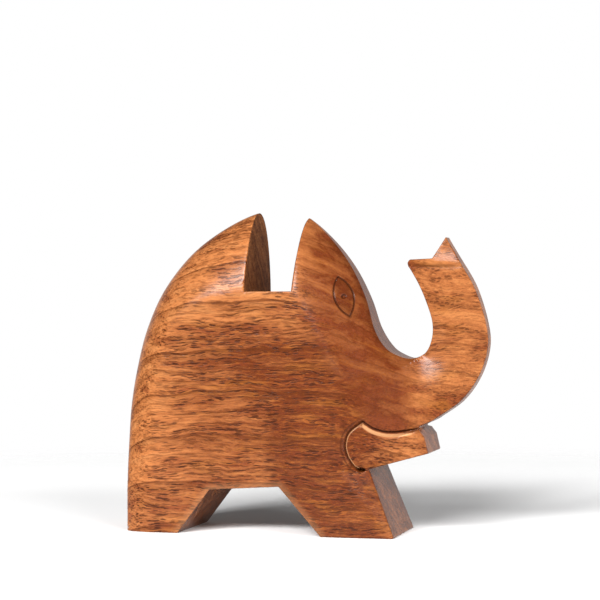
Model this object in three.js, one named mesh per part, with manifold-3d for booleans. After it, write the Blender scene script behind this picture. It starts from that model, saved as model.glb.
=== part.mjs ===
// Carved wooden elephant: one block of timber, sawn to a side profile, rounded over the back and
// head, thinned towards the trunk, and slotted across the back so that a phone or cards stand in it.
// Millimetres, +Z up. The elephant looks along +X and stands on Z = 0, with Y = 0 at mid-thickness.
import * as THREE from 'three';
import { mergeVertices } from 'three/addons/utils/BufferGeometryUtils.js';
import Module from 'manifold-3d';

const wasm = await Module();
wasm.setup();

// Driving dimensions
const THICKNESS = 38;              // thickness of the block, across Y
const HALF = THICKNESS / 2;
const RING_STEPS = 7;              // facets from the ridge down to the flat flank
const STATION_STEPS = 3;           // facets between two stations of the rounded edge
const CURVE_STEPS = 3;             // facets between two points of a sawn curve
const FLANK_ANGLE = 68;            // degrees of the rounding's ellipse used before it meets the flank
const SQUARE_FLAT = 9;             // half width left flat along the edges that stay square
const ROUND_FACETS = 96;           // facets round a large cylinder
const SMALL_FACETS = 12;           // and round a punched or drilled mark

const SLOT_FLOOR_Z = 85.7;
const SLOT_REAR_X = -19.8;         // rear wall at the slot's floor
const SLOT_FRONT_X = -2.7;         // front wall at the slot's floor
const SLOT_TOP_Z = 125;            // anywhere above the back
const SLOT_REAR_LEAN = 1.1;        // how far each wall leans forward between floor and top
const SLOT_FRONT_LEAN = 3.2;

const EYE_CENTRE = { x: 14.6, z: 83.9 };
const EYE_LENGTH = 14.6;
const EYE_BULGE = 2.9;             // sagitta of each lid
const EYE_TILT = 19;               // degrees that the eye's top leans back
const EYELID_STEPS = 8;
const PUPIL_RADIUS = 1.1;
const GROOVE_RADIUS = 0.45;        // lines cut with a small gouge
const MOUTH_RADIUS = 0.9;
const MOUTH_STEPS = 2;             // points of a gouged line between two of its corners
const NOTCH = { x: 22, z: 23.6, radius: 1.3, depth: 2.5 };

const JAW_ROOT_HALF = 18.3;        // half thickness of the jaw at its rounded root
const JAW_ROOT_X = 16.5;
const JAW_TIP_HALF = 12.3;         // and at its tip
const JAW_TIP_X = 44.9;
const JAW_BELOW = [[24.8, 23.8], [48, 30], [48, 38.2]];       // clear of its underside and tip

const HEAD_PARED = { rear: 12, front: 70, low: 20, top: 120, cheekEnd: 31 };   // reach of that cut

const SCOOP_RADIUS = 25;           // shallow hollow on each side of the trunk's upper finger
const SCOOP_CENTRE = { x: 46, y: 27.8, z: 103.9 };
const SCOOP_TURN = 13;             // degrees in plan, along the side of the trunk
const SCOOP_LENGTH = 30;

const LEG_TOP = { x: 24.6, z: 23.8, half: 15.9 };   // the front leg is thinner under the jaw
const LEG_SIDE = [[14, 23.9], [14, -1], [40, -1], [26, 23.9]];
const LEG_SLOPE_X = -0.28;         // change of its half thickness towards the front
const LEG_SLOPE_Z = -0.225;        // and upwards

const OUTSIDE = 30;                // cutters reach this far past the block in Y
const OVERCUT = 0.3;               // neighbouring cuts overlap by this much, so no fin is left

// The rounded edge, from the rear foot over the back and head to the trunk's upper lip. Each station
// gives the ridge (x, z), the line where the rounding ends on the flank (x, z), half the width of the
// flat left along the ridge, and the angle at which the rounding leaves it.
const ROUNDED_EDGE = [
  { ridge: [-64.2, 0], flank: [-54.7, 0], flat: 14.5, start: 0 },
  { ridge: [-64.8, 16], flank: [-54.6, 14], flat: 12.5, start: 0 },
  { ridge: [-64.8, 32], flank: [-53.5, 32], flat: 10, start: 0 },
  { ridge: [-64.4, 45], flank: [-52.6, 46], flat: 8, start: 0 },
  { ridge: [-62.7, 58], flank: [-51, 60], flat: 6, start: 0 },
  { ridge: [-59.5, 72], flank: [-47.4, 72.4], flat: 4, start: 0 },
  { ridge: [-53.4, 86.2], flank: [-41, 80], flat: 2.6, start: 0 },
  { ridge: [-43.3, 99.2], flank: [-34, 83.4], flat: 1.6, start: 0 },
  { ridge: [-31.1, 108.3], flank: [-27, 84.6], flat: 1, start: 0 },
  { ridge: [-18.8, 113.9], flank: [-19.8, 85.3], flat: 0.6, start: 0 },
  { ridge: [-8.5, 114.8], flank: [-11, 85.7], flat: 0.6, start: 0 },
  { ridge: [-0.4, 111.8], flank: [-2.6, 85.6], flat: 0.8, start: 6 },
  { ridge: [8.6, 103.7], flank: [1.2, 80.5], flat: 2.4, start: 16 },
  { ridge: [16, 93.9], flank: [4.6, 75], flat: 3.9, start: 24 },
  { ridge: [21.3, 83], flank: [8.2, 68], flat: 5.3, start: 30 },
  { ridge: [24.6, 72.6], flank: [12, 60], flat: 7.2, start: 36 },
  { ridge: [28.9, 65.8], flank: [17, 52], flat: 9.2, start: 40 },
  { ridge: [34.2, 62.7], flank: [25, 50], flat: 9.6, start: 40 },
  { ridge: [38.5, 62.2], flank: [35.5, 58.5], flat: 9.6, start: 40 },
  { ridge: [42.8, 64.6], flank: [42.8, 64.6], flat: 9, start: 40 },
  { ridge: [45, 69.8], flank: [45, 69.8], flat: 9, start: 40 },
  { ridge: [45.2, 75.5], flank: [45.2, 75.5], flat: 9, start: 40 },
  { ridge: [43.4, 81.9], flank: [43.4, 81.9], flat: 9, start: 40 },
  { ridge: [40.7, 88.5], flank: [40.7, 88.5], flat: 9, start: 40 },
  { ridge: [36.7, 95.9], flank: [36.7, 95.9], flat: 9, start: 40 },
];

// Sawn edges that stay square: the trunk's tip and outer curve, the jaw, the legs and the belly arch.
const TRUNK_TIP = [[37.3, 96.9], [44.9, 97.3]];
const TRUNK_OUTER = [
  [49.5, 104.7], [54.9, 95.6], [59.8, 86.9], [63.5, 75.5],
  [64.4, 66.5], [61.5, 56.5], [55.2, 47.5], [45.6, 40.6],
];
const JAW_LEGS_AND_BELLY = [
  [40.7, 38.4], [43.5, 35.1], [44.9, 29.3], [24.6, 23.8], [34, 0],
  [7.9, 0], [-7.2, 17.2], [-32.4, 15.7], [-44.3, 0],
];

// Mouth line, from the jaw's tip back to its highest point, and the round root of the jaw below it.
const MOUTH_LINE = [[42.5, 38.2], [37.8, 37.2], [31.3, 36.6], [26.2, 37.8], [22.4, 40.4]];
const JAW_ROOT = [[22.4, 40.4], [17.9, 36.7], [16.5, 32.5], [17.2, 28.6], [19.5, 24.8], [22, 23.4]];

// Plan of the head and trunk: half thickness against X, above the mouth line.
const PLAN_CURVE = [
  [12.5, HALF], [17, 18.3], [22, 16.7], [28, 14], [34, 11.3],
  [38.5, 9.4], [46, 7.2], [56, 4.9], [66, 3.1],
];

function toSolid(geometry) {
  const bare = geometry.clone();
  bare.deleteAttribute('normal');
  bare.deleteAttribute('uv');
  const merged = mergeVertices(bare);
  return new wasm.Manifold(new wasm.Mesh({
    numProp: 3,
    vertProperties: new Float32Array(merged.attributes.position.array),
    triVerts: new Uint32Array(merged.index.array),
  }));
}

function toGeometry(solid) {
  const mesh = solid.getMesh();
  const geometry = new THREE.BufferGeometry();
  geometry.setAttribute('position', new THREE.BufferAttribute(mesh.vertProperties, 3));
  geometry.setIndex(new THREE.BufferAttribute(mesh.triVerts, 1));
  geometry.computeVertexNormals();
  return geometry;
}

// The same shape on the other side of Y = 0, with its faces still pointing out.
function mirrored(geometry) {
  const copy = mergeVertices(geometry.clone()).scale(1, -1, 1);
  const index = copy.index.array;
  for (let i = 0; i < index.length; i += 3) {
    [index[i], index[i + 1]] = [index[i + 1], index[i]];
  }
  return copy;
}

function smooth(points, steps) {
  const curve = new THREE.SplineCurve(corners(points));
  return curve.getPoints(steps * (points.length - 1));
}

function corners(pairs) {
  return pairs.map(([a, b]) => new THREE.Vector2(a, b));
}

// A prism across the block, from an outline in X and Z.
function acrossBlock(points, from = -OUTSIDE, to = OUTSIDE) {
  const settings = { depth: to - from, bevelEnabled: false };
  const geometry = new THREE.ExtrudeGeometry(new THREE.Shape(points), settings);
  return geometry.rotateX(Math.PI / 2).translate(0, to, 0);
}

// A prism on one side of the block whose inner face slopes: its Y changes with X and with Z.
function slopingSlab(points, slopeX, slopeZ, offset) {
  const shear = new THREE.Matrix4().set(
    1, 0, 0, 0,
    slopeX, 1, slopeZ, offset,
    0, 0, 1, 0,
    0, 0, 0, 1,
  );
  return acrossBlock(points, 0, OUTSIDE).applyMatrix4(shear);
}

// Columns of points round the outline: each column runs from one flank over the edge to the other.
function outlineColumns() {
  const ridge = new THREE.CatmullRomCurve3(
    ROUNDED_EDGE.map(({ ridge: [x, z], flat }) => new THREE.Vector3(x, flat, z)), false, 'catmullrom');
  const flank = new THREE.CatmullRomCurve3(
    ROUNDED_EDGE.map(({ flank: [x, z], start }) => new THREE.Vector3(x, start, z)), false, 'catmullrom');
  const stations = STATION_STEPS * (ROUNDED_EDGE.length - 1);
  const columns = [];
  for (let i = 0; i <= stations; i += 1) {
    const top = ridge.getPoint(i / stations);
    const side = flank.getPoint(i / stations);
    columns.push(column(top, side, Math.max(side.y, 0)));
  }
  const trunk = smooth(TRUNK_OUTER, CURVE_STEPS);
  for (const { x, y: z } of [...corners(TRUNK_TIP), ...trunk, ...corners(JAW_LEGS_AND_BELLY)]) {
    columns.push(column(new THREE.Vector3(x, SQUARE_FLAT, z), new THREE.Vector3(x, 0, z), 0));
  }
  return columns;
}

// One column, flank to ridge to flank: an arc of an ellipse between the start and flank angles.
function column(top, side, startDegrees) {
  const first = THREE.MathUtils.degToRad(startDegrees);
  const last = THREE.MathUtils.degToRad(FLANK_ANGLE);
  const half = [];
  for (let k = 0; k <= RING_STEPS; k += 1) {
    const angle = first + (last - first) * k / RING_STEPS;
    const inward = (Math.cos(first) - Math.cos(angle)) / (Math.cos(first) - Math.cos(last));
    const outward = (Math.sin(angle) - Math.sin(first)) / (Math.sin(last) - Math.sin(first));
    const x = THREE.MathUtils.lerp(top.x, side.x, inward);
    const y = THREE.MathUtils.lerp(top.y, HALF, outward);
    const z = THREE.MathUtils.lerp(top.z, side.z, inward);
    half.push([x, y, z]);
  }
  return [...half.map(([x, y, z]) => [x, -y, z]).reverse(), ...half];
}

// The block with its back and head rounded over, closed by a flat flank on each side.
function roundedBlock() {
  const columns = outlineColumns();
  const rows = columns[0].length;
  const index = [];
  columns.forEach((_, i) => {
    const next = (i + 1) % columns.length;
    for (let j = 0; j + 1 < rows; j += 1) {
      const [a, b] = [i * rows + j, i * rows + j + 1];
      const [c, d] = [next * rows + j, next * rows + j + 1];
      index.push(a, c, b, c, d, b);
    }
  });
  const outline = columns.map((points) => new THREE.Vector2(points[0][0], points[0][2]));
  for (const [a, b, c] of THREE.ShapeUtils.triangulateShape(outline, [])) {
    index.push(a * rows, b * rows, c * rows);
    index.push(a * rows + rows - 1, c * rows + rows - 1, b * rows + rows - 1);
  }
  const geometry = new THREE.BufferGeometry();
  geometry.setAttribute('position', new THREE.Float32BufferAttribute(columns.flat(2), 3));
  geometry.setIndex(index);
  return geometry;
}

// What is pared off one side of the head and trunk, above the mouth line.
function cheekShaving() {
  const { rear, front, low, top, cheekEnd } = HEAD_PARED;
  const curve = smooth(PLAN_CURVE, CURVE_STEPS);
  const plan = [
    ...curve, new THREE.Vector2(curve.at(-1).x, OUTSIDE), new THREE.Vector2(curve[0].x, OUTSIDE),
  ];
  const settings = { depth: top - low, bevelEnabled: false };
  const shaving = new THREE.ExtrudeGeometry(new THREE.Shape(plan), settings).translate(0, 0, low);
  const throat = smooth(JAW_ROOT, CURVE_STEPS).filter(({ y: z }) => z > cheekEnd);
  const region = [
    ...corners([[front, top], [front, MOUTH_LINE[0][1]]]),
    ...smooth(MOUTH_LINE, CURVE_STEPS), ...throat.slice(1),
    ...corners([[rear, cheekEnd], [rear, top]]),
  ].map(({ x, y: z }) => new THREE.Vector2(x, z - OVERCUT));
  return toSolid(shaving).intersect(toSolid(acrossBlock(region)));
}

// What is pared off one side of the jaw: a slab that slopes in towards the jaw's tip.
function jawShaving() {
  const outline = [
    ...smooth(MOUTH_LINE, CURVE_STEPS), ...smooth(JAW_ROOT, CURVE_STEPS).slice(1),
    ...corners(JAW_BELOW),
  ];
  const slope = (JAW_TIP_HALF - JAW_ROOT_HALF) / (JAW_TIP_X - JAW_ROOT_X);
  return slopingSlab(outline, slope, 0, JAW_ROOT_HALF - slope * JAW_ROOT_X);
}

function slot() {
  return acrossBlock([
    new THREE.Vector2(SLOT_REAR_X, SLOT_FLOOR_Z),
    new THREE.Vector2(SLOT_FRONT_X, SLOT_FLOOR_Z),
    new THREE.Vector2(SLOT_FRONT_X + SLOT_FRONT_LEAN, SLOT_TOP_Z),
    new THREE.Vector2(SLOT_REAR_X + SLOT_REAR_LEAN, SLOT_TOP_Z),
  ]);
}

function trunkScoop() {
  const cutter = new THREE.CylinderGeometry(SCOOP_RADIUS, SCOOP_RADIUS, SCOOP_LENGTH, ROUND_FACETS);
  cutter.rotateZ(THREE.MathUtils.degToRad(90 - SCOOP_TURN));
  return cutter.translate(SCOOP_CENTRE.x, SCOOP_CENTRE.y, SCOOP_CENTRE.z);
}

// What is pared off one side of the front leg, below the jaw.
function legShaving() {
  const offset = LEG_TOP.half - LEG_SLOPE_X * LEG_TOP.x - LEG_SLOPE_Z * LEG_TOP.z;
  return slopingSlab(corners(LEG_SIDE), LEG_SLOPE_X, LEG_SLOPE_Z, offset);
}

// Half thickness of the carved block at a place on its side.
function sideReader(geometry) {
  const carved = new THREE.Mesh(geometry, new THREE.MeshBasicMaterial());
  return (x, z) => {
    const ray = new THREE.Raycaster(new THREE.Vector3(x, OUTSIDE, z), new THREE.Vector3(0, -1, 0));
    return ray.intersectObject(carved)[0].point.y;
  };
}

// A gouged line: a slim diamond section swept along points that lie on the surface.
function gougedLine(points, radius, sideAt) {
  const onSurface = points.map(({ x, y: z }) => new THREE.Vector3(x, sideAt(x, z), z));
  const section = new THREE.Shape(corners([[radius, 0], [0, radius], [-radius, 0], [0, -radius]]));
  return new THREE.ExtrudeGeometry(section, {
    steps: points.length * 2,
    extrudePath: new THREE.CatmullRomCurve3(onSurface),
    bevelEnabled: false,
  });
}

// One eyelid: an arc between the eye's two corners, bulging to the side given by sign.
function eyelid(sign) {
  const radius = (EYE_LENGTH ** 2 / 4 + EYE_BULGE ** 2) / (2 * EYE_BULGE);
  const spread = Math.asin(EYE_LENGTH / 2 / radius);
  const centre = new THREE.Vector2(EYE_CENTRE.x, EYE_CENTRE.z);
  const points = [];
  for (let i = 0; i <= EYELID_STEPS; i += 1) {
    const angle = spread * (2 * i / EYELID_STEPS - 1);
    const bulge = sign * (radius * Math.cos(angle) - radius + EYE_BULGE);
    const upright = new THREE.Vector2(bulge, radius * Math.sin(angle)).add(centre);
    points.push(upright.rotateAround(centre, THREE.MathUtils.degToRad(EYE_TILT)));
  }
  return points;
}

function pupil(sideAt) {
  const { x, z } = EYE_CENTRE;
  const dimple = new THREE.SphereGeometry(PUPIL_RADIUS, SMALL_FACETS, SMALL_FACETS / 2);
  return dimple.translate(x, sideAt(x, z), z);
}

function notch(sideAt) {
  const { x, z, radius, depth } = NOTCH;
  const drill = new THREE.CylinderGeometry(radius, radius, 2 * depth, SMALL_FACETS);
  return drill.translate(x, sideAt(x, z - radius), z);
}

function cutBoth(solid, geometry) {
  return solid.subtract(toSolid(geometry)).subtract(toSolid(mirrored(geometry)));
}

function carvedBlock() {
  let solid = toSolid(roundedBlock()).subtract(toSolid(slot()));
  solid = cutBoth(solid, toGeometry(cheekShaving()));
  solid = cutBoth(solid, jawShaving());
  solid = cutBoth(solid, legShaving());
  solid = cutBoth(solid, trunkScoop());
  const sideAt = sideReader(toGeometry(solid));
  const mouth = smooth(MOUTH_LINE.slice(1), MOUTH_STEPS);
  const jawRoot = smooth(JAW_ROOT, MOUTH_STEPS);
  solid = cutBoth(solid, gougedLine(eyelid(1), GROOVE_RADIUS, sideAt));
  solid = cutBoth(solid, gougedLine(eyelid(-1), GROOVE_RADIUS, sideAt));
  solid = cutBoth(solid, gougedLine(mouth, MOUTH_RADIUS, sideAt));
  solid = cutBoth(solid, gougedLine(jawRoot, MOUTH_RADIUS, sideAt));
  solid = cutBoth(solid, pupil(sideAt));
  solid = cutBoth(solid, notch(sideAt));
  return toGeometry(solid);
}

const wood = new THREE.MeshStandardMaterial({ color: 0x9d5531, roughness: 0.42, metalness: 0 });
const body = new THREE.Mesh(carvedBlock(), wood);
body.name = 'wooden_body';

const elephant = new THREE.Group();
elephant.add(body);

export default elephant;
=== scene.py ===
"""Carved wooden elephant with a slot across its back, on a white table in soft light."""

import math

import bpy
import numpy as np
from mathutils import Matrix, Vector
from mathutils.bvhtree import BVHTree
from mathutils.geometry import delaunay_2d_cdt
from mathutils.kdtree import KDTree


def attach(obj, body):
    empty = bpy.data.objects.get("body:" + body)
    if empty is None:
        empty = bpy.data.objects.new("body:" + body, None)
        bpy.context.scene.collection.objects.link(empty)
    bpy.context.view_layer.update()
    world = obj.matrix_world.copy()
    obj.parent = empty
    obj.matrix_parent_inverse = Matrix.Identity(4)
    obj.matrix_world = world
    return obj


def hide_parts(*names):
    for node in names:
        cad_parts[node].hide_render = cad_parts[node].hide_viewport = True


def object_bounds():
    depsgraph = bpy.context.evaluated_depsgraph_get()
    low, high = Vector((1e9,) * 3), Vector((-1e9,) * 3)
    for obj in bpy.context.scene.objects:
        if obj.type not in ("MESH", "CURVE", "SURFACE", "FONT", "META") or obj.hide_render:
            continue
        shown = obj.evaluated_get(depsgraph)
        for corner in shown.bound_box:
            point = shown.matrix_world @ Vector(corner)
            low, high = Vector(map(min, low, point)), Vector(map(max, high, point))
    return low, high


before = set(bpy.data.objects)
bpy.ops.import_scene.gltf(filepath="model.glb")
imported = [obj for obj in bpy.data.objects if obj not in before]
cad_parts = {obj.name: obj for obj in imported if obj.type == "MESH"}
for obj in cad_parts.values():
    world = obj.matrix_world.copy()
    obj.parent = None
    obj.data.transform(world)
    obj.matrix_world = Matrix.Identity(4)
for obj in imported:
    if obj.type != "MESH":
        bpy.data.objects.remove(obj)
cad_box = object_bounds()

MM = 0.001
HALF = 19.0                     # half thickness of the block, mm
FLANK_ANGLE = 68.0              # degrees of the rounding used before it meets the flank

SLOT_FLOOR_Z = 85.7
SLOT_REAR = (-19.8, 1.1 / 39.3)     # X at the floor, and how far it leans forward per mm of height
SLOT_FRONT = (-2.7, 3.2 / 39.3)

# Rounded edge: ridge x, z; end of the rounding x, z; half width of the flat; angle it starts at
ROUNDED_EDGE = [
    (-64.2, 0, -54.7, 0, 14.5, 0),
    (-64.8, 16, -54.6, 14, 12.5, 0),
    (-64.8, 32, -53.5, 32, 10, 0),
    (-64.4, 45, -52.6, 46, 8, 0),
    (-62.7, 58, -51, 60, 6, 0),
    (-59.5, 72, -47.4, 72.4, 4, 0),
    (-53.4, 86.2, -41, 80, 2.6, 0),
    (-43.3, 99.2, -34, 83.4, 1.6, 0),
    (-31.1, 108.3, -27, 84.6, 1, 0),
    (-18.8, 113.9, -19.8, 85.7, 0.6, 0),
    (-8.5, 114.8, -11, 85.7, 0.6, 0),
    (-0.4, 111.8, -2.7, 85.7, 0.8, 6),
    (8.6, 103.7, 1.2, 80.5, 2.4, 16),
    (16, 93.9, 4.6, 75, 3.9, 24),
    (21.3, 83, 8.2, 68, 5.3, 30),
    (24.6, 72.6, 12, 60, 7.2, 36),
    (28.9, 65.8, 17, 52, 9.2, 40),
    (34.2, 62.7, 25, 50, 9.6, 40),
    (38.5, 62.2, 35.5, 58.5, 9.6, 40),
    (42.8, 64.6, 42.8, 64.6, 9, 40),
    (45, 69.8, 45, 69.8, 9, 40),
    (45.2, 75.5, 45.2, 75.5, 9, 40),
    (43.4, 81.9, 43.4, 81.9, 9, 40),
    (40.7, 88.5, 40.7, 88.5, 9, 40),
    (36.7, 95.9, 36.7, 95.9, 9, 40),
]
SQUARE_FROM = 19                # the station from which the edge is square

TRUNK_TIP = [(37.3, 96.9), (44.9, 97.3)]
TRUNK_OUTER = [
    (49.5, 104.7), (54.9, 95.6), (59.8, 86.9), (63.5, 75.5),
    (64.4, 66.5), (61.5, 56.5), (55.2, 47.5), (45.6, 40.6),
]
BELLY_ARCH = [(7.9, 0), (-7.2, 17.2), (-32.4, 15.7), (-44.3, 0)]
JAW_FOOT = (24.6, 23.8)         # where the jaw's underside meets the front leg
JAW_LEGS_AND_BELLY = [
    (40.7, 38.4), (43.5, 35.1), (44.9, 29.3), JAW_FOOT, (34, 0), *BELLY_ARCH,
]
MOUTH_LINE = [(42.5, 38.2), (37.8, 37.2), (31.3, 36.6), (26.2, 37.8), (22.4, 40.4)]
JAW_ROOT = [(22.4, 40.4), (17.9, 36.7), (16.5, 32.5), (17.2, 28.6), (19.5, 24.8), (22, 23.4)]
PLAN_CURVE = [                  # half thickness of the head and trunk, forward of the shoulder
    (12.5, HALF), (17, 18.3), (22, 16.7), (28, 14), (34, 11.3),
    (38.5, 9.4), (46, 7.2), (56, 4.9), (66, 3.1),
]
EYE = (14.6, 83.9)
EYE_LENGTH, EYE_BULGE, EYE_TILT = 14.6, 2.9, 19.0
LID_DEPTH, LID_WIDTH = 0.42, 0.36       # depth of the groove round the eye, and half its width
PUPIL_DEPTH, PUPIL_RADII = 0.75, (0.25, 1.15)   # the radii are of the punch's tip and its rim
NOTCH, NOTCH_RADII, NOTCH_DEPTH = (22.0, 23.6), (1.65, 0.85), 2.4
NEAR_JAW = (12, 50, 19, 46)     # left, right, low and high sides of the part its cuts reach
CREASE = (46, 94.6)             # a point on the line where the hollow of the trunk's finger begins
CREASE_SLOPE = 0.04
HOLLOW_BACK, HOLLOW_TOP, HOLLOW_RADIUS = 34, 103.9, 25
HOLLOW_LEAN, HOLLOW_EDGE = 0.09, 58     # how much deeper it gets per mm behind this X
TRUNK_FROM = 30                 # the upright part of the trunk lies forward of this X

HEAD_ABOVE = (22.5, 31)         # the heights between which the leg's side turns into the head's
LEG_HALF, LEG_FORWARD, LEG_UP = 15.9, 0.28, 0.225   # half thickness at JAW_FOOT; loss per mm
JAW_HALF, JAW_FORWARD, JAW_BACK = 18.3, 0.212, 16.5     # the same for the jaw, from its root's X
BEND, BEND_REACH, BEND_SLOPE = (38.8, 64.8), 13, 0.34   # wear at the trunk's root
RIDGE, RIDGE_STRETCH = (36.5, 56.0), 1.3                # wear on the ridge below the bend
RIDGE_REACH, RIDGE_ROUNDS = (3.0, 10.0), 40

ARRIS = 0.35                    # radius that the sawn edges are eased to
ARRIS_STEPS = (0.05, 0.18, ARRIS)
BESIDE = 1 + len(ARRIS_STEPS)   # columns of the rounded edge that lie along a wall or the sole
ACROSS = 8                      # facets from one side of an edge face to the other
RINGS, FINE_RINGS = 22, 60      # facets round the edge, on the mesh and on the copy it is read from


# ---- curves and polygons, all in mm in the side view (x, z) -------------------------------------

def catmull(points, where):
    """Uniform Catmull-Rom curve through points, at parameters counted in points."""
    p = np.asarray(points, float)
    p = np.vstack([2 * p[0] - p[1], p, 2 * p[-1] - p[-2]])
    where = np.clip(np.asarray(where, float), 0, len(points) - 1 - 1e-9)
    i = where.astype(int)
    f = (where - i)[:, None]
    a, b, c, d = p[i], p[i + 1], p[i + 2], p[i + 3]
    return 0.5 * (2 * b + (c - a) * f + (2 * a - 5 * b + 4 * c - d) * f ** 2
                  + (3 * b - a - 3 * c + d) * f ** 3)


def even(points, spacing, smooth=True):
    """Points along a curve or a polyline at even spacing, both ends included."""
    fine = catmull(points, np.linspace(0, len(points) - 1, 60 * len(points))) if smooth \
        else np.asarray(points, float)
    run = np.r_[0, np.cumsum(np.linalg.norm(np.diff(fine, axis=0), axis=1))]
    count = max(1, int(round(run[-1] / spacing)))
    at = np.linspace(0, run[-1], count + 1)
    return np.stack([np.interp(at, run, fine[:, k]) for k in range(fine.shape[1])], 1)


def to_path(points, path):
    """Distance from each point to a polyline, and the place along it, from 0 to 1."""
    best = np.full(len(points), 1e9)
    place = np.zeros(len(points))
    run = np.r_[0, np.cumsum(np.linalg.norm(np.diff(path, axis=0), axis=1))]
    for k in range(len(path) - 1):
        a, ab = path[k], path[k + 1] - path[k]
        length = np.linalg.norm(ab)
        if length < 1e-9:
            continue
        f = np.clip(((points - a) @ ab) / length ** 2, 0, 1)
        off = points - a - f[:, None] * ab
        dist = np.linalg.norm(off, axis=1)
        near = dist < best
        best[near] = dist[near]
        place[near] = (run[k] + f[near] * length) / run[-1]
    return best, place


def within(points, polygon):
    """Even-odd test of points against a closed polygon."""
    x, z = points[:, 0], points[:, 1]
    inside = np.zeros(len(points), bool)
    for a, b in zip(polygon, np.roll(polygon, -1, axis=0)):
        if a[1] == b[1]:
            continue
        crosses = (a[1] > z) != (b[1] > z)
        at = a[0] + (z - a[1]) * (b[0] - a[0]) / (b[1] - a[1])
        inside ^= crosses & (x < at)
    return inside


def round_corner(before, corner, after, radius, steps=4):
    """A small arc in place of a corner between two straight edges."""
    c = np.asarray(corner, float)
    u = np.asarray(before, float) - c
    v = np.asarray(after, float) - c
    u /= np.linalg.norm(u)
    v /= np.linalg.norm(v)
    half = math.acos(np.clip(u @ v, -1, 1)) / 2
    back = radius / math.tan(half)
    start, stop = c + u * back, c + v * back
    middle = c + (u + v) / np.linalg.norm(u + v) * radius / math.sin(half)
    arc = []
    for f in np.linspace(0, 1, steps + 1):
        way = start * (1 - f) + stop * f - middle
        arc.append(middle + way / np.linalg.norm(way) * radius)
    return arc


# ---- the block's rounded edge -------------------------------------------------------------------

def column(station, rings):
    """Points (x, y, z) from the ridge down to the flank at one station."""
    rx, rz, fx, fz, flat, start = station
    flat = max(flat, 0.3)
    first, last = math.radians(max(start, 0)), math.radians(FLANK_ANGLE)
    angle = first + (last - first) * np.linspace(0, 1, rings + 1)
    inward = (math.cos(first) - np.cos(angle)) / (math.cos(first) - math.cos(last))
    outward = (np.sin(angle) - math.sin(first)) / (math.sin(last) - math.sin(first))
    return np.stack([rx + (fx - rx) * inward, flat + (HALF - flat) * outward,
                     rz + (fz - rz) * inward], 1)


def wall_x(wall, z):
    """X of one of the slot's walls at height z."""
    return wall[0] + wall[1] * (z - SLOT_FLOOR_Z)


FINE = np.linspace(0, SQUARE_FROM, 4001)
FINE_EDGE = catmull(ROUNDED_EDGE, FINE)
FINE_RUN = np.r_[0, np.cumsum(np.linalg.norm(np.diff(FINE_EDGE[:, :2], axis=0), axis=1))]


def station_at(run):
    return catmull(ROUNDED_EDGE, [np.interp(run, FINE_RUN, FINE)])[0]


def run_where(wall, low, high):
    """How far along the ridge it crosses a wall of the slot."""
    inside = (FINE >= low) & (FINE <= high)
    gap = FINE_EDGE[:, 0] - wall_x(wall, FINE_EDGE[:, 1])
    k = np.nonzero(inside)[0]
    return np.interp(0, gap[k], FINE_RUN[k])


def edge_columns(rings):
    """The rounded edge as two runs of columns, behind and in front of the slot.

    The columns nearest to a wall of the slot, and to the sole, lie parallel to it, so that the
    arris there can be eased.
    """
    near = [0.0, *ARRIS_STEPS]
    clear, pitch = 1.1, 0.95
    rear_end = run_where(SLOT_REAR, 8.5, 9.5)
    front_start = run_where(SLOT_FRONT, 10.5, 11.5)
    rear, front = [], []
    for gap in near:
        points = column(station_at(gap), rings)
        points[:, 2] = gap
        rear.append(points)
    count = int((rear_end - 2.0) / pitch)
    for run in np.linspace(clear, rear_end - clear, count):
        rear.append(column(station_at(run), rings))
    for gap in reversed(near):
        points = column(station_at(rear_end - gap), rings)
        points[:, 0] = wall_x(SLOT_REAR, points[:, 2]) - gap
        rear.append(points)
    for gap in near:
        points = column(station_at(front_start + gap), rings)
        points[:, 0] = wall_x(SLOT_FRONT, points[:, 2]) + gap
        front.append(points)
    for run in np.arange(front_start + clear, FINE_RUN[-1] - 0.1, 0.9):
        front.append(column(station_at(run), rings))
    return np.array(rear), np.array(front)


def edge_tree():
    """A fine copy of the rounded edge, to read its half thickness anywhere."""
    points, faces = [], []
    for columns in edge_columns(FINE_RINGS):
        rows = columns.shape[1]
        base = len(points)
        points.extend(columns.reshape(-1, 3))
        for i in range(len(columns) - 1):
            for j in range(rows - 1):
                a = base + i * rows + j
                faces.append((a, a + 1, a + rows + 1, a + rows))
    return BVHTree.FromPolygons([tuple(p) for p in points], faces)


def read_edge(tree, points):
    """Half thickness under the rounding at each point, or HALF where the flank is flat."""
    out = np.full(len(points), HALF)
    for k, (x, z) in enumerate(points):
        hit = tree.ray_cast(Vector((x, 40, z)), Vector((0, -1, 0)))
        if hit[0] is not None:
            out[k] = min(hit[0].y, HALF)
    return out


def eased_flank(points, edge, rear, front):
    """The low crease where the rounding meets the flat flank, worn soft."""
    width = 4.0
    edge = edge.copy()
    for columns in (rear, front):
        line = columns[:, -1][:, [0, 2]]
        fall = (HALF - columns[:, -2, 1]) / np.maximum(
            np.linalg.norm(columns[:, -2][:, [0, 2]] - line, axis=1), 0.05)
        run = np.r_[0, np.cumsum(np.linalg.norm(np.diff(line, axis=0), axis=1))]
        dist, place = to_path(points, line)
        slope = np.interp(place * run[-1], run, np.clip(fall, 0, 0.45))
        signed = np.where(edge >= HALF - 1e-6, dist, -dist)
        near = dist < width / 2
        cut = slope * (width / 2 - signed) ** 2 / (2 * width)
        edge[near] = np.minimum(edge[near], HALF - cut[near])
    return edge


# ---- the carved sides ---------------------------------------------------------------------------

MOUTH_FINE = even(MOUTH_LINE, 0.4)
ROOT_FINE = even(JAW_ROOT, 0.4)
JAW_PATH = np.vstack([MOUTH_FINE, ROOT_FINE[1:]])
JAW_PEAK = len(MOUTH_FINE) / len(JAW_PATH)
JAW_SHAPE = np.vstack([JAW_PATH, [(24.6, 23.6), (48, 29.9), (48, 38.4)]])
SHARPNESS = 5.0                 # how closely two cuts meet, as a power


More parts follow.
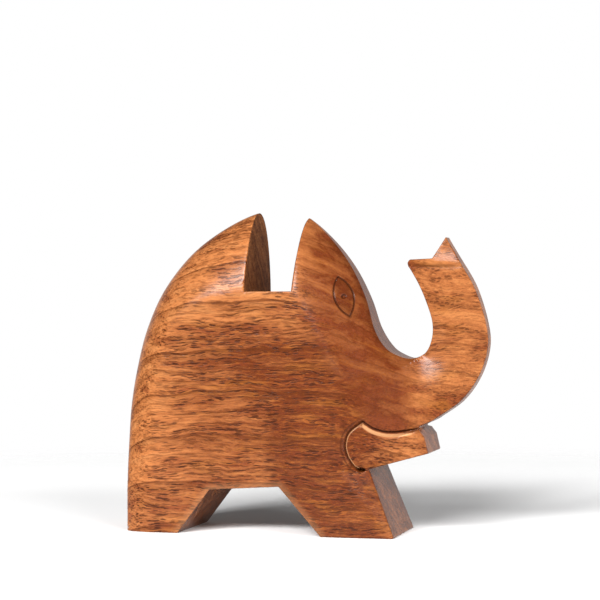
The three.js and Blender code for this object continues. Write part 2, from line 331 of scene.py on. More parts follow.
def smoothstep(a, b, v):
    """0 below a and 1 above b, with a soft S between them."""
    f = np.clip((v - a) / (b - a), 0, 1)
    return f * f * (3 - 2 * f)


def eye_lids():
    """The two arcs of the almond eye."""
    radius = (EYE_LENGTH ** 2 / 4 + EYE_BULGE ** 2) / (2 * EYE_BULGE)
    spread = math.asin(EYE_LENGTH / 2 / radius)
    turn = math.radians(EYE_TILT)
    lids = []
    for sign in (1, -1):
        angle = np.linspace(-spread, spread, 38)
        across = sign * (radius * np.cos(angle) - radius + EYE_BULGE)
        along = radius * np.sin(angle)
        lids.append(np.stack([EYE[0] + across * math.cos(turn) - along * math.sin(turn),
                              EYE[1] + across * math.sin(turn) + along * math.cos(turn)], 1))
    return lids


def along_gouge(points):
    """Distance from the gouged line round the jaw, negative on the jaw; the place along the line;
    and how far it has turned from the mouth to the jaw's root, 0 to 1."""
    dist, place = to_path(points, JAW_PATH)
    s = np.where(within(points, JAW_SHAPE), -dist, dist)
    return s, place, smoothstep(JAW_PEAK - 0.03, JAW_PEAK + 0.05, place)


def from_notch(points):
    """Distance from the middle of the jaw's notch, in its own radii."""
    off = (points - NOTCH) / NOTCH_RADII
    return np.hypot(off[:, 0], off[:, 1])


def above_crease(points):
    """Height above the crease where the hollow of the trunk's finger begins."""
    return points[:, 1] + CREASE_SLOPE * (points[:, 0] - CREASE[0]) - CREASE[1]


def finger_hollow(points):
    """Depth of the hollow on each side of the trunk's upper finger, deeper towards the lip."""
    up = above_crease(points)
    rise = HOLLOW_TOP - CREASE[1]
    arc = np.sqrt(HOLLOW_RADIUS ** 2 - np.clip(rise - up, 0, rise) ** 2)
    arc = arc - math.sqrt(HOLLOW_RADIUS ** 2 - rise ** 2)
    lean = HOLLOW_LEAN * np.maximum(HOLLOW_EDGE - points[:, 0], 0) * smoothstep(-0.3, 0.8, up)
    return np.where(points[:, 0] > HOLLOW_BACK, arc + lean, 0)


def jaw_side(points, outer):
    """Half thickness at points near the jaw: its flat side, and the gouged line round it.

    From the outer side in, the line has a bank, a floor and a ramp up to the jaw. Along the mouth
    it is a deep gouge with a steep bank. Round the root it is a shallower step with a gentle one.
    """
    s, place, rooted = along_gouge(points)
    jaw = JAW_HALF - JAW_FORWARD * (points[:, 0] - JAW_BACK)
    ends = smoothstep(0.0, 0.10, place) * (1 - smoothstep(0.96, 1.0, place))
    mouth = (0.35 + 0.65 * smoothstep(0.02, 0.25, place)) * (1 - rooted)
    bank = (0.45 + 0.85 * rooted) * (0.4 + 0.6 * ends)
    fall = (1.25 * mouth + 0.8 * rooted) * ends
    floor = (0.8 * mouth + 0.2 * rooted) * (0.4 + 0.6 * ends)
    ramp = 0.9 * mouth + 0.4 * rooted
    bottom = outer - fall - 0.45 * rooted * ends * smoothstep(0.0, 0.12, -s)
    profile = np.where(s > bank, outer, outer - fall * np.clip(1 - s / bank, 0, 1) ** 1.3)
    profile = np.where(s < 0, bottom, profile)
    rise = np.clip((-s - floor) / ramp, 0, 1)
    return np.where(s < -floor, bottom + (jaw - bottom) * rise, profile)


def carved(points, edge):
    """Half thickness of the block at each point of its side, from that under the rounded edge."""
    x, z = points[:, 0], points[:, 1]
    fine = even(PLAN_CURVE, 0.2)
    plan = np.interp(x, fine[:, 0], fine[:, 1])
    leg = LEG_HALF - LEG_FORWARD * (x - JAW_FOOT[0]) - LEG_UP * (z - JAW_FOOT[1])
    above = smoothstep(*HEAD_ABOVE, z)
    leg_cut = HALF - leg
    leg_cut = (leg_cut + np.sqrt(leg_cut ** 2 + 0.25)) / 2 - 0.02
    cuts = [np.maximum(HALF - edge, 0), (HALF - plan) * above,
            np.where(x > 5, np.maximum(leg_cut, 0) * (1 - above), 0)]
    half = HALF - sum(c ** SHARPNESS for c in cuts) ** (1 / SHARPNESS)

    # the root of the trunk, worn away a little below its bend
    worn = BEND_REACH - np.hypot(x - BEND[0], z - BEND[1])
    half = half - BEND_SLOPE * (worn + np.sqrt(worn ** 2 + 5)) / 2

    half = half - finger_hollow(points)
    left, right, low, high = NEAR_JAW
    k = np.nonzero((x > left) & (x < right) & (z > low) & (z < high))[0]
    half[k] = jaw_side(points[k], half[k])
    half = half - NOTCH_DEPTH * (1 - smoothstep(0.55, 1.0, from_notch(points)))

    # the eye
    far = np.linalg.norm(points - EYE, axis=1)
    k = np.nonzero(far < EYE_LENGTH)[0]
    for lid in eye_lids():
        dist, _ = to_path(points[k], lid)
        half[k] = half[k] - LID_DEPTH * (1 - smoothstep(0.0, LID_WIDTH, dist))
    return half - PUPIL_DEPTH * (1 - smoothstep(*PUPIL_RADII, far))


def painted_shade_and_light(points):
    """How much painted shade lies in the carved lines and hollows at each point, and how much
    painted light lies on their lit banks and round the belly arch, 0 to 1.
    """
    lids = eye_lids()
    s, place, rooted = along_gouge(points)
    ends = smoothstep(0.0, 0.06, place) * (1 - smoothstep(0.97, 1.0, place))
    far = np.linalg.norm(points - EYE, axis=1)
    corner = np.linalg.norm(points - lids[0][0], axis=1)
    nose = catmull(ROUNDED_EDGE, np.linspace(12, 18, 60))[:, :2]
    trunk = points[:, 0] > TRUNK_FROM
    # painted shade: dark in the eye's grooves and corner, the pupil's ring, the mouth and jaw-root
    # lines, the notch, along the nose, on the finger's crease and over the trunk's tip; the inside
    # of the eye is darkened a little too
    painted_shade = np.max([
        *[1 - smoothstep(0.15, 0.50, to_path(points, lid)[0]) for lid in lids],
        smoothstep(0.15, 0.45, far) * (1 - smoothstep(0.75, PUPIL_RADII[1], far)),
        0.3 * within(points, np.vstack([lids[0], lids[1][::-1]])),
        0.8 * (1 - smoothstep(0.3, 1.1, corner)),
        (1 - smoothstep(0.25, 0.60, abs(s - 0.05))) * ends * (0.95 - 0.2 * rooted),
        0.7 * (1 - smoothstep(0.15, 0.40, abs(s - 1.35))) * rooted * ends,
        0.55 * (1 - smoothstep(0.8, 1.25, from_notch(points))),
        0.42 * (1 - smoothstep(0.2, 1.9, to_path(points, nose)[0])),
        0.75 * (1 - smoothstep(0.15, 0.5, abs(above_crease(points)))) * trunk,
        0.22 * smoothstep(100, 104, points[:, 1]) * trunk,
    ], axis=0)
    bank = smoothstep(0.65, 0.95, -s) * (1 - smoothstep(1.35, 1.75, -s))
    # painted light: pale on the lit lower bank of the mouth, on the lit jaw-side wall of the
    # jaw-root line, and a little near the belly arch
    painted_light = np.max([
        bank * smoothstep(0.05, 0.14, place) * (1 - rooted),
        0.16 * (1 - smoothstep(0.6, 2.8, to_path(points, np.array(BELLY_ARCH))[0])),
        0.6 * (1 - smoothstep(0.15, 0.35, abs(s + 0.45))) * rooted * ends,
    ], axis=0)
    return painted_shade, painted_light


def softened(spots, half, triangles):
    """Half thickness with the ridge between the head's rounding and the trunk worn round."""
    far = np.hypot((spots[:, 0] - RIDGE[0]) / RIDGE_STRETCH, spots[:, 1] - RIDGE[1])
    weight = 0.5 * (1 - smoothstep(*RIDGE_REACH, far))
    ends = np.concatenate([triangles[:, [0, 1]], triangles[:, [1, 2]], triangles[:, [2, 0]]])
    ends = ends[(weight[ends] > 0).any(axis=1)]
    for _ in range(RIDGE_ROUNDS):
        total, count = np.zeros(len(half)), np.zeros(len(half))
        for a, b in (ends.T, ends.T[::-1]):
            np.add.at(total, a, half[b])
            np.add.at(count, a, 1)
        half = half + weight * (total / np.maximum(count, 1) - half) * (count > 0)
    return half


# ---- the outline and the points inside it -------------------------------------------------------

def straight(a, b, spacing=0.8):
    return list(even([a, b], spacing, smooth=False))


def side_outline(rear, front):
    """The block's outline in the side view, as one closed loop of points (x, z), and which of them
    belong to the soft rounded edge."""
    loop = []
    soft = []

    def add(points, is_soft=False):
        for p in points:
            if loop and np.linalg.norm(np.asarray(p) - loop[-1]) < 0.02:
                continue
            loop.append(np.asarray(p, float))
            soft.append(is_soft)

    flat = [rear[0, j, [0, 2]] for j in range(rear.shape[1])]
    add(flat[::-1])                                      # rear foot, from the flank to the ridge
    add(rear[:, 0, :][:, [0, 2]], True)                  # up the rump and back
    add(rear[-1][:, [0, 2]])                             # down the slot's rear wall
    floor = [rear[-1, -1, [0, 2]], front[0, -1, [0, 2]]]
    add(straight(*floor))
    add(front[0][::-1][:, [0, 2]])                       # up its front wall
    add(front[:, 0, :][:, [0, 2]], True)                 # down the forehead to the trunk's bend
    lip = catmull(ROUNDED_EDGE, np.linspace(SQUARE_FROM, len(ROUNDED_EDGE) - 1, 400))[:, :2]
    add(even(lip, 0.7, smooth=False))
    corners = [lip[-1], *TRUNK_TIP, TRUNK_OUTER[0]]
    for before, corner, after in zip(corners, corners[1:], corners[2:]):
        add(straight(loop[-1], round_corner(before, corner, after, 0.5)[0], 0.6)[1:-1])
        add(round_corner(before, corner, after, 0.5))
    outer = even(TRUNK_OUTER, 0.7)
    add(straight(loop[-1], outer[0], 0.6)[1:-1])
    add(outer)
    corners = [outer[-2], outer[-1], *JAW_LEGS_AND_BELLY, ROUNDED_EDGE[0][:2]]
    for before, corner, after in zip(corners[1:], corners[2:], corners[3:]):
        arc = round_corner(before, corner, after, 0.45)
        add(straight(loop[-1], arc[0])[1:-1])
        add(arc)
    add(straight(loop[-1], flat[-1])[1:-1])
    return np.array(loop), np.array(soft)


def offset_points(loop, depth):
    """Points a little inside the outline, level with each of its points."""
    ahead = np.roll(loop, -1, axis=0) - loop
    behind = loop - np.roll(loop, 1, axis=0)
    ahead /= np.linalg.norm(ahead, axis=1)[:, None]
    behind /= np.linalg.norm(behind, axis=1)[:, None]
    way = ahead + behind
    way /= np.linalg.norm(way, axis=1)[:, None] + 1e-9
    normal = np.stack([way[:, 1], -way[:, 0]], 1)
    stretch = 1 / np.clip(np.sum(way * ahead, axis=1), 0.4, 1)
    return loop + normal * (depth * stretch)[:, None]


def strip(path, offsets):
    """Rows of points along both sides of a line on the carved side."""
    way = np.gradient(path, axis=0)
    way /= np.linalg.norm(way, axis=1)[:, None]
    normal = np.stack([-way[:, 1], way[:, 0]], 1)
    return np.vstack([path + normal * s for s in offsets])


def search_tree(points):
    tree = KDTree(len(points))
    for k, (x, z) in enumerate(points):
        tree.insert((x, z, 0), k)
    tree.balance()
    return tree


def circles(centre, stretch, radii, step):
    """A point, and rings of points round it."""
    a = np.arange(0, 2 * math.pi, step)
    return np.vstack([[centre]] + [
        np.stack([centre[0] + stretch[0] * r * np.cos(a),
                  centre[1] + stretch[1] * r * np.sin(a)], 1) for r in radii])


def thin(points, kept, gap):
    """Those of points that are at least gap away from kept and from each other."""
    tree = search_tree(kept)
    cells, out = {}, []
    for p in points:
        if tree.find((p[0], p[1], 0))[2] < gap:
            continue
        key = (int(p[0] // gap), int(p[1] // gap))
        around = [q for i in (-1, 0, 1) for j in (-1, 0, 1)
                  for q in cells.get((key[0] + i, key[1] + j), ())]
        if any((p[0] - q[0]) ** 2 + (p[1] - q[1]) ** 2 < gap * gap for q in around):
            continue
        cells.setdefault(key, []).append(p)
        out.append(p)
    return np.array(out).reshape(-1, 2)


def side_mesh():
    """One side of the block: its points (x, z), their half thickness, the triangles, which points
    make the outline, and which of those are on the soft rounded edge."""
    rear, front = edge_columns(RINGS)
    loop, soft = side_outline(rear, front)
    count = len(loop)
    tree = edge_tree()

    # half thickness on the outline: exact on the rounded edge, read elsewhere
    known = {}
    for columns in (rear, front):
        for p in columns.reshape(-1, 3):
            known[(round(p[0], 4), round(p[2], 4))] = p[1]
    edge = [known.get((round(x, 4), round(z, 4))) for x, z in loop]
    read = read_edge(tree, loop + (loop.mean(0) - loop) * 1e-5)
    edge = np.array([r if e is None else e for e, r in zip(edge, read)])

    layers = [loop]
    values = [edge]

    def put(points, value=None):
        if len(points):
            layers.append(points)
            values.append(read_edge(tree, points) if value is None else value)

    hard = loop[~soft]
    eased = []
    for depth in ARRIS_STEPS:
        ring = offset_points(loop, depth)[~soft]
        dist, _ = to_path(ring, np.vstack([loop, loop[:1]]))
        ring = ring[(dist > depth * 0.93) & within(ring, loop)]
        eased.append(ring)
    ends = np.concatenate([rear[:BESIDE, 1:], rear[-BESIDE:, 1:], front[:BESIDE, 1:]])
    ends = ends.reshape(-1, 3)
    ends = ends[within(ends[:, [0, 2]], loop)]
    ring = np.vstack(eased)
    apart = thin(ring, ends[:, [0, 2]], 0.045)
    put(ends[:, [0, 2]], ends[:, 1])
    put(apart)

    # strips along the carved lines
    steps = (0.12, 0.24, 0.36, 0.5, 0.75, 1.1)
    lids = [strip(lid, (*[-d for d in reversed(steps)], 0, *steps)) for lid in eye_lids()]
    pupil = circles(EYE, (1, 1), (0.25, 0.5, 0.75, 1.0, 1.25, 1.6), 0.36)
    bands = (2.6, 2.2, 1.8, 1.45, 1.3, 1.1, 0.85, 0.6, 0.45, 0.3, 0.15, 0, -0.12, -0.25, -0.42,
             -0.6, -0.85, -1.1, -1.35, -1.6, -1.85, -2.1, -2.4, -2.8)
    gouge = np.vstack([strip(MOUTH_FINE, bands), strip(ROOT_FINE, bands)])
    notch = circles(NOTCH, NOTCH_RADII, (0.3, 0.55, 0.7, 0.85, 1.0, 1.2), 0.3)
    fine = np.vstack([pupil, *lids, notch, gouge])
    dist, _ = to_path(fine, np.vstack([loop, loop[:1]]))
    fine = fine[within(fine, loop) & (dist > ARRIS + 0.1)]
    put(thin(fine, np.vstack(layers), 0.105))

    # rings of the rounded edge, then an even grid over the rest
    middle = np.concatenate([rear[BESIDE:-BESIDE, 1:], front[BESIDE:, 1:]]).reshape(-1, 3)
    flat = middle[:, [0, 2]]
    keep = within(flat, loop)
    far, _ = to_path(flat, np.vstack([hard, hard[:1]]))
    keep &= far > ARRIS + 0.12
    middle, flat = middle[keep], flat[keep]
    tight = search_tree(fine)
    keep = np.array([tight.find((x, z, 0))[2] > 0.35 for x, z in flat])
    put(flat[keep], middle[keep, 1])
    pitch = 1.15
    low, high = loop.min(0), loop.max(0)
    across = np.arange(low[0], high[0], pitch)
    rows = [np.stack([across + (r % 2) * pitch / 2, np.full(len(across), z)], 1)
            for r, z in enumerate(np.arange(low[1], high[1], pitch * 0.866))]
    grid = np.vstack(rows)
    grid = grid[within(grid, loop)]
    dist, _ = to_path(grid, np.vstack([loop, loop[:1]]))
    grid = grid[dist > 0.8]
    put(thin(grid, np.vstack(layers), 0.7))

    points = np.vstack(layers)
    edge = np.concatenate(values)

    # rings near the ridge are kept whole, because their points lie close together in the side view
    index = {(round(x, 4), round(z, 4)): k for k, (x, z) in reversed(list(enumerate(points)))}
    wires = {(k, (k + 1) % count) for k in range(count)}
    for columns in (rear, front):
        for j in range(1, 9):
            row = [index.get((round(p[0], 4), round(p[2], 4))) for p in columns[:, j]]
            for a, b in zip(row, row[1:]):
                if a is not None and b is not None and a != b:
                    wires.add((a, b))
    out = delaunay_2d_cdt([Vector(p) for p in points], sorted(wires), [], 0, 1e-6, True)
    spots = np.array([tuple(v) for v in out[0]])
    triangles = np.array([f for f in out[2]])
    source = np.array([ids[0] if ids else -1 for ids in out[3]])
    a, b, c = (spots[triangles[:, k]] for k in range(3))
    area = (b[:, 0] - a[:, 0]) * (c[:, 1] - a[:, 1]) - (b[:, 1] - a[:, 1]) * (c[:, 0] - a[:, 0])
    triangles = triangles[within((a + b + c) / 3, loop) & (area > 1e-7)]

    new = source < 0
    value = np.where(new, HALF, edge[source])
    if new.any():
        value[new] = read_edge(tree, spots[new])
    where_loop = np.full(count, -1)
    for k, ids in enumerate(out[3]):
        for i in ids:
            if i < count:
                where_loop[i] = k
    value = eased_flank(spots, value, rear, front)
    return spots, softened(spots, carved(spots, value), triangles), triangles, where_loop, soft


# ---- the whole block ----------------------------------------------------------------------------

def one_sided_normals(points, triangles):
    """The normal at each point of an open sheet of triangles."""
    a, b, c = (points[triangles[:, k]] for k in range(3))
    face = np.cross(b - a, c - a)
    normal = np.zeros_like(points)
    for k in range(3):
        np.add.at(normal, triangles[:, k], face)
    return normal / np.linalg.norm(normal, axis=1)[:, None]


def body_mesh():
    """The carved block as vertices (mm) and faces, closed across the thickness, with the painted
    shade and painted light of the carved lines at each vertex."""
    spots, half, triangles, ring, soft = side_mesh()
    loop = spots[ring]
    near = np.stack([spots[:, 0], -half, spots[:, 1]], 1)
    normal = one_sided_normals(near, triangles)

    # arrises: every edge but the rounded one is eased
    count = len(ring)
    dist = np.full(len(spots), 1e9)
    starts = [k for k in range(count) if soft[k] and not soft[(k + 1) % count]]
    for start in starts:
        run = [start]
        while not soft[(run[-1] + 1) % count]:
            run.append((run[-1] + 1) % count)
        dist = np.minimum(dist, to_path(spots, loop[run])[0])
    inside = np.clip(ARRIS - dist, 0, ARRIS)
    ease = ARRIS - np.sqrt(ARRIS ** 2 - inside ** 2)
    near = near - normal * ease[:, None]
    near[:, 2] = np.maximum(near[:, 2], 0)

    verts = [near, near * (1, -1, 1)]
    faces = [tuple(t) for t in triangles]
    faces += [(c + len(near), b + len(near), a + len(near)) for a, b, c in triangles]

    # the faces across the thickness
    width = np.abs(near[ring, 1])
    inset = np.minimum(ARRIS, 0.3 * width)
    rows = [ring]
    base = 2 * len(near)
    for k in range(1, ACROSS):
        f = (k - 1) / (ACROSS - 2) * 2 - 1
        y = f * (width - inset)
        verts.append(np.stack([loop[:, 0], y, loop[:, 1]], 1))
        rows.append(np.arange(base, base + count))
        base += count
    rows.append(ring + len(near))
    for low, high in zip(rows, rows[1:]):
        for k in range(count):
            n = (k + 1) % count
            faces.append((int(low[k]), int(low[n]), int(high[n]), int(high[k])))
    verts = np.vstack(verts)
    marks = {name: np.r_[mark, mark, np.zeros(len(verts) - 2 * len(near))]
             for name, mark in zip(("painted_shade", "painted_light"), painted_shade_and_light(spots))}
    return verts, faces, marks


def carved_body():
    verts, faces, marks = body_mesh()
    verts = np.clip(verts, np.array(cad_box[0]) / MM, np.array(cad_box[1]) / MM)
    mesh = bpy.data.meshes.new("carved_wood_body")
    mesh.from_pydata([tuple(v) for v in verts * MM], [], faces)
    mesh.validate()
    mesh.polygons.foreach_set("use_smooth", np.ones(len(mesh.polygons), bool))
    mesh.update()
    for name, mark in marks.items():
        stored = mesh.attributes.new(name, "FLOAT", "POINT")
        stored.data.foreach_set("value", mark.astype(np.float32))
    body = bpy.data.objects.new("carved_wood_body", mesh)
    bpy.context.scene.collection.objects.link(body)
    weighted = body.modifiers.new("weighted_normals", "WEIGHTED_NORMAL")
    weighted.mode = "FACE_AREA_WITH_ANGLE"
    return body


body = carved_body()
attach(body, "root")
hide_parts("wooden_body")


# ---- the wood -----------------------------------------------------------------------------------

class Nodes:
    """Short calls for building a node tree."""

    def __init__(self, material):
        material.use_nodes = True
        self.tree = material.node_tree
        self.shader = self.tree.nodes["Principled BSDF"]

    def feed(self, socket, value):
        if isinstance(value, bpy.types.NodeSocket):
            self.tree.links.new(value, socket)
        elif value is not None:
            socket.default_value = value

    def math(self, operation, a, b=None, c=None, clamp=False):
        node = self.tree.nodes.new("ShaderNodeMath")
        node.operation = operation
        node.use_clamp = clamp
        for socket, value in zip(node.inputs, (a, b, c)):
            self.feed(socket, value)
        return node.outputs[0]

    def combine(self, x, y, z):
        node = self.tree.nodes.new("ShaderNodeCombineXYZ")
        for socket, value in zip(node.inputs, (x, y, z)):
            self.feed(socket, value)
        return node.outputs[0]

    def noise(self, vector, detail=2.0, roughness=0.5):
        node = self.tree.nodes.new("ShaderNodeTexNoise")
        self.feed(node.inputs["Vector"], vector)
        node.inputs["Scale"].default_value = 1.0
        node.inputs["Detail"].default_value = detail
        node.inputs["Roughness"].default_value = roughness
        return node.outputs["Fac"]

    def cells(self, vector):
        node = self.tree.nodes.new("ShaderNodeTexVoronoi")
        self.feed(node.inputs["Vector"], vector)
        node.inputs["Scale"].default_value = 1.0
        node.inputs["Randomness"].default_value = 1.0
        return node.outputs["Distance"], node.outputs["Color"]

    def span(self, value, low, high, to_low=0.0, to_high=1.0):
        node = self.tree.nodes.new("ShaderNodeMapRange")
        node.interpolation_type = "SMOOTHSTEP"
        for socket, v in zip(node.inputs, (value, low, high, to_low, to_high)):
            self.feed(socket, v)
        return node.outputs[0]

    def stored(self, name):
        """A number kept for each point of the mesh."""
        node = self.tree.nodes.new("ShaderNodeAttribute")
        node.attribute_name = name
        return node.outputs["Fac"]

    def mix(self, factor, a, b):
        node = self.tree.nodes.new("ShaderNodeMix")
        node.data_type = "RGBA"
        self.feed(node.inputs[0], factor)
        for socket, value in ((node.inputs[6], a), (node.inputs[7], b)):
            self.feed(socket, value if isinstance(value, bpy.types.NodeSocket) else (*value, 1))
        return node.outputs[2]


def grain(n):
    """Places within the wood, in mm: plain x, y and z; across the growth layers, first smooth and
    then with their small waves; and along the layers.

    The grain runs along X and wanders a little. The layers lie at 45 degrees across the block.
    """
    place = n.tree.nodes.new("ShaderNodeTexCoord").outputs["Object"]
    apart = n.tree.nodes.new("ShaderNodeSeparateXYZ")
    n.feed(apart.inputs[0], place)
    x, y, z = (n.math("MULTIPLY", apart.outputs[k], 1000.0) for k in range(3))

    def wander(sx, sy, sz, amount, detail):
        way = n.combine(n.math("MULTIPLY", x, sx), n.math("MULTIPLY", y, sy),
                        n.math("MULTIPLY", z, sz))
        return n.math("MULTIPLY", n.math("SUBTRACT", n.noise(way, detail), 0.5), amount)

    slow = n.math("ADD", z, n.math("ADD", wander(0.016, 0.03, 0.03, 9.0, 2),
                                   wander(0.06, 0.05, 0.13, 3.0, 2)))
    bent = n.math("ADD", slow, wander(0.22, 0.3, 0.40, 1.1, 2))
    return x, y, z, n.math("ADD", slow, y), n.math("ADD", bent, y), n.math("SUBTRACT", bent, y)


LIGHT, DEEP, ROSE = (0.345, 0.118, 0.036), (0.100, 0.020, 0.006), (0.155, 0.036, 0.013)
GOLD, COPPER, OCHRE = (0.42, 0.168, 0.058), (0.245, 0.072, 0.014), (0.21, 0.070, 0.012)
# the second colour is that of the open pores, and also of the painted shade in the cut lines and
# hollows
DARK, PORE_AND_SHADE = (0.068, 0.015, 0.003), (0.030, 0.007, 0.002)
# colour of the painted light on the lit banks of the cut lines
PAINTED_LIGHT_COLOUR = (0.62, 0.32, 0.15)

# Soft-edged boxes in the side view: left, right, low, high, softness (mm) and amount
CORE = (-14, 34, -30, 66, 10, 1.0)
FLANK_HEART = [(-44, 34, -30, 74, 12, 0.64), (-32, 34, 42, 75, 15, 0.94)]
OTHER_HEART = [
    (0, 40, 30, 112, 9, 0.88),          # head
    (-60, -30, -10, 18, 8, 0.55),       # rear foot
    (38, 80, 24, 54, 9, 0.72),          # underside of the trunk
    (36, 80, 50, 120, 9, 0.36),         # rest of the trunk
]
PALE_JAW = (25, 38, 25, 36, 5, 0.45)


def zone(n, x, z, box):
    """A soft-edged box in the side view."""
    left, right, low, high, soft, amount = box
    sides = n.math("MULTIPLY", n.span(x, left - soft, left + soft),
                   n.span(x, right + soft, right - soft))
    ends = n.math("MULTIPLY", n.span(z, low - soft, low + soft),
                  n.span(z, high + soft, high - soft))
    return n.math("MULTIPLY", n.math("MULTIPLY", sides, ends), amount)


def heartwood(n, x, y, z, core, mottle):
    """How dark and red the wood is: most through the middle of the flank and down the front leg."""
    sides = n.span(n.math("ABSOLUTE", y), 8.0, 15.0, 0.6, 1.0)
    heart = core
    for box in FLANK_HEART:
        heart = n.math("MAXIMUM", heart, zone(n, x, z, box))
    heart = n.math("MULTIPLY", heart, sides)
    for box in OTHER_HEART:
        heart = n.math("MAXIMUM", heart, zone(n, x, z, box))
    heart = n.math("MULTIPLY", heart, n.math("SUBTRACT", 1.0, zone(n, x, z, PALE_JAW)))
    return n.math("ADD", heart, n.span(mottle, 0.40, 0.62, -0.12, 0.22), clamp=True)


def wood_material(name, tone, roughness, specular, sawn=False):
    """Open-pored reddish wood, waxed, with painted shade in its cut lines. Lengths are in mm."""
    material = bpy.data.materials.new(name)
    n = Nodes(material)
    x, y, z, growth, layer, cross = grain(n)
    light, deep, rose, gold, copper, dark, pore_and_shade = (
        tuple(v * tone for v in c) for c in (LIGHT, DEEP, ROSE, GOLD, COPPER, DARK, PORE_AND_SHADE))

    def product(*factors):
        out = factors[0]
        for factor in factors[1:]:
            out = n.math("MULTIPLY", out, factor)
        return out

    def field(sx, sl, sc, detail=2.0, rough=0.5, shift=0.0):
        """Noise by its scale along the grain, across the growth layers and along them."""
        return n.noise(n.combine(product(x, sx), n.math("MULTIPLY_ADD", layer, sl, shift),
                                 product(cross, sc)), detail, rough)

    bands = field(0.014, 0.30, 0.03, 3, 0.6, 11.0)
    mottle = field(0.055, 0.16, 0.16, 3, 0.55, 23.0)
    streak = field(0.085, 0.95, 0.8, 4, 0.65, 31.0)
    fibre = field(0.60, 2.6, 2.6, 3, 0.7, 47.0)
    ochre = field(0.045, 0.22, 0.12, 2, 0.5, 71.0)

    def pores(length, gap, size, shift):
        dist, tint = n.cells(n.combine(product(x, 1 / length),
                                       n.math("MULTIPLY_ADD", layer, 1 / gap, shift),
                                       product(cross, 1 / gap)))
        part = n.tree.nodes.new("ShaderNodeSeparateColor")
        n.feed(part.inputs[0], tint)
        return product(n.span(dist, size * 0.7, size, 1.0, 0.0), n.span(part.outputs[0], 0.1, 0.5))

    # the head's side is cut across the layers at a slant, and is smoother than the flank
    cheek = product(n.span(n.math("MULTIPLY_ADD", z, 0.42, x), 33.0, 43.0), n.span(x, 46.0, 36.0),
                    n.span(z, 34.0, 40.0))
    open_grain = n.math("MULTIPLY_ADD", cheek, -0.75, 1.0)
    calm = n.span(x, 34.0, 46.0, 1.0, 0.5)               # the trunk is plainer too
    dense = n.span(n.math("ADD", bands, product(n.math("SUBTRACT", mottle, 0.5), 1.3)), 0.34, 0.62)
    pore = n.math("MAXIMUM",
                  product(pores(length=7.0, gap=0.95, size=0.42, shift=0.0),
                          n.span(dense, 0, 1, 0.5, 1.0)),
                  product(pores(length=3.4, gap=0.70, size=0.45, shift=7.3),
                          n.span(dense, 0, 1, 0.3, 1.0)))
    pore = product(pore, open_grain)

    def ring(period, phase, fade):
        """A thin dark line where each year's growth ends, and the slow darkening before it."""
        turn = n.math("FRACT", n.math("MULTIPLY_ADD", growth, 1 / period, phase))
        return n.math("MAXIMUM", product(n.span(turn, 0.90, 0.975), n.span(turn, 1.0, 0.985)),
                      product(n.span(turn, fade, 1.0), 0.45))

    rings = n.math("MAXIMUM", ring(period=16.0, phase=0.0625, fade=0.55),
                   product(ring(period=5.3, phase=0.4, fade=0.3), 0.55))

    core = zone(n, x, z, CORE)
    heart = heartwood(n, x, y, z, core, mottle)
    contrast = n.span(heart, 0.0, 0.8, 0.62, 1.0)
    smoother = product(n.math("MULTIPLY_ADD", cheek, -0.45, 1.0), contrast)
    gold = n.mix(heart, gold, copper)
    colour = n.mix(heart, light, deep)
    colour = n.mix(product(n.span(bands, 0.46, 0.3), 0.45), colour, gold)
    colour = n.mix(product(n.span(mottle, 0.54, 0.68), 0.6), colour, rose)
    colour = n.mix(product(n.span(ochre, 0.54, 0.66, 0.0, 0.6), open_grain), colour,
                   n.mix(heart, gold, OCHRE))
    colour = n.mix(product(n.span(bands, 0.52, 0.70), 0.45), colour, dark)
    colour = n.mix(product(core, 0.20), colour, dark)
    colour = n.mix(product(n.span(streak, 0.51, 0.63), contrast, open_grain, calm, 0.88),
                   colour, dark)
    colour = n.mix(product(n.span(streak, 0.47, 0.34), 0.60, open_grain), colour, gold)
    colour = n.mix(product(n.span(fibre, 0.52, 0.68, 0.0, 0.60), smoother), colour, dark)
    colour = n.mix(product(n.span(fibre, 0.48, 0.32, 0.0, 0.50), smoother), colour, gold)
    colour = n.mix(product(rings, n.span(cheek, 0.0, 1.0, 0.70, 0.45), calm), colour, dark)
    pore = product(pore, n.math("MULTIPLY_ADD", calm, 0.6, 0.4))
    colour = n.mix(product(pore, n.span(heart, 0.0, 0.5, 0.62, 0.92)), colour, pore_and_shade)

    # painted light, paler, on the lit bank of the cut lines and near the belly arch; painted shade,
    # dark, in the lines and hollows
    colour = n.mix(product(n.stored("painted_light"), 0.75), colour, PAINTED_LIGHT_COLOUR)
    colour = n.mix(product(n.stored("painted_shade"), 0.85), colour, pore_and_shade)
    n.feed(n.shader.inputs["Base Color"], colour)

    n.feed(n.shader.inputs["Roughness"],
           n.span(fibre, 0.3, 0.8, roughness - 0.03, roughness + 0.07))
    relief = n.math("SUBTRACT", product(fibre, 0.010), product(pore, 0.012))
    if sawn:
        marks = field(1.1, 0.05, 0.05, 2, 0.7, 61.0)
        ripple = n.noise(n.combine(product(x, 0.3), 0.0, product(z, 2.2)))
        relief = n.math("ADD", relief, product(n.math("ADD", marks, ripple), 0.05))
    bump = n.tree.nodes.new("ShaderNodeBump")
    bump.inputs["Strength"].default_value = 1.0
    bump.inputs["Distance"].default_value = MM
    n.feed(bump.inputs["Height"], relief)
    n.feed(n.shader.inputs["Normal"], bump.outputs[0])
    n.shader.inputs["Specular IOR Level"].default_value = specular
    return material


def is_sawn(centre):
    """Whether a face, by its middle in mm, lies on the slot's walls or floor."""
    x, z = centre[:, 0], centre[:, 2]
    gap = 0.06
    return ((z > SLOT_FLOOR_Z - gap) & (x > wall_x(SLOT_REAR, z) - gap)
            & (x < wall_x(SLOT_FRONT, z) + gap))


